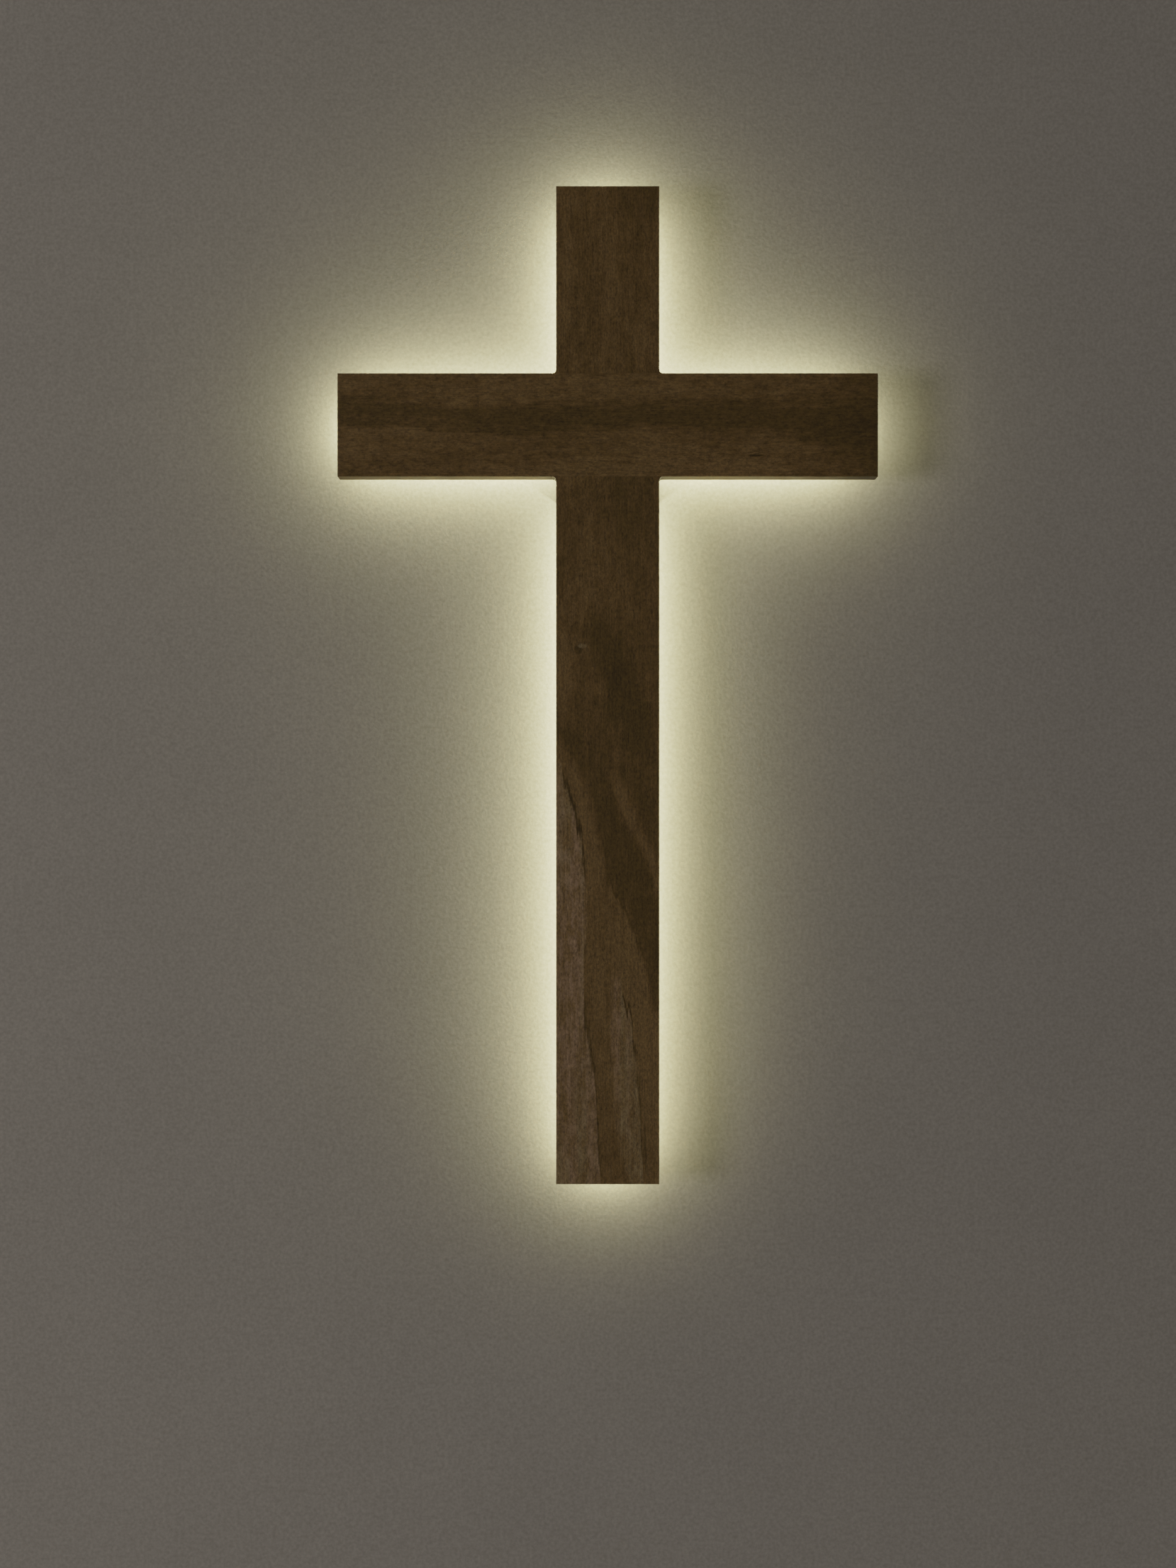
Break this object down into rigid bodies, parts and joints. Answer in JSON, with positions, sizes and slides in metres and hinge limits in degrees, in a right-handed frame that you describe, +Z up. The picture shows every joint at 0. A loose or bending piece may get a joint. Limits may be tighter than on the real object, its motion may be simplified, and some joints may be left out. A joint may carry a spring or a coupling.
{
  "type": "backlit wall cross",
  "caption": "Flat wooden Latin cross that hangs off a wall on a keyhole block and is lit from behind by battery-fed light strips.",
  "frame": {"origin": "on the wall plane, midway between the round entries of the two keyholes", "axes": "+Z up along the upright, +X to the viewer's right, +Y into the wall, so the front faces -Y"},
  "size_m": [0.325, 0.038, 0.6],
  "materials": {
    "crossbar_wood": "dark stained softwood, satin, grain along X",
    "upright_wood": "dark stained softwood, satin, grain along Z",
    "block_wood": "bare softwood, matt",
    "hardware_steel": "zinc-plated steel",
    "contact_metal": "nickel-plated spring steel",
    "case_plastic": "moulded black plastic, fine texture",
    "slider_plastic": "moulded black plastic",
    "cell_wrap": "printed sleeve over a steel can",
    "switch_metal": "plated steel can",
    "tape_white": "white flexible printed tape",
    "package_white": "white moulded light package",
    "phosphor": "warm white phosphor gel, lit",
    "resistor_black": "chip resistor",
    "lead_red": "silicone insulation",
    "lead_black": "silicone insulation"
  },
  "bodies": {
    "cross": {"upright": "upright_wood", "crossbar": "crossbar_wood", "hanging_block": "block_wood", "hanging_block_screws": "hardware_steel", "keyhole_plate": "hardware_steel", "keyhole_plate_screws": "hardware_steel", "battery_case": "case_plastic", "battery_case_screws": "hardware_steel", "battery_cell_upper": "cell_wrap", "battery_cell_middle": "cell_wrap", "battery_cell_lower": "cell_wrap", "contact_plates": "contact_metal", "contact_springs": "contact_metal", "switch_body": "switch_metal", "switch_terminals": "contact_metal", "lead_battery_positive": "lead_red", "feed_across_red": "lead_red", "feed_lower_red": "lead_red", "jumper_upper_red": "lead_red", "feed_across_black": "lead_black", "feed_lower_black": "lead_black", "jumper_upper_black": "lead_black", "strip_across": "tape_white", "leds_across": "package_white", "windows_across": "phosphor", "resistors_across": "resistor_black", "strip_upper": "tape_white", "leds_upper": "package_white", "windows_upper": "phosphor", "resistors_upper": "resistor_black", "strip_lower": "tape_white", "leds_lower": "package_white", "windows_lower": "phosphor", "resistors_lower": "resistor_black"},
    "battery_cover": {"battery_cover": "case_plastic"},
    "switch_slider": {"switch_slider": "slider_plastic"}
  },
  "joints": [
    {"name": "battery_cover_slide", "type": "slide", "parent": "cross", "child": "battery_cover", "axis": [-1, 0, 0], "range_m": [0, 0.056]},
    {"name": "switch_slide", "type": "slide", "parent": "cross", "child": "switch_slider", "axis": [0, 0, -1], "range_m": [0, 0.002]}
  ]
}
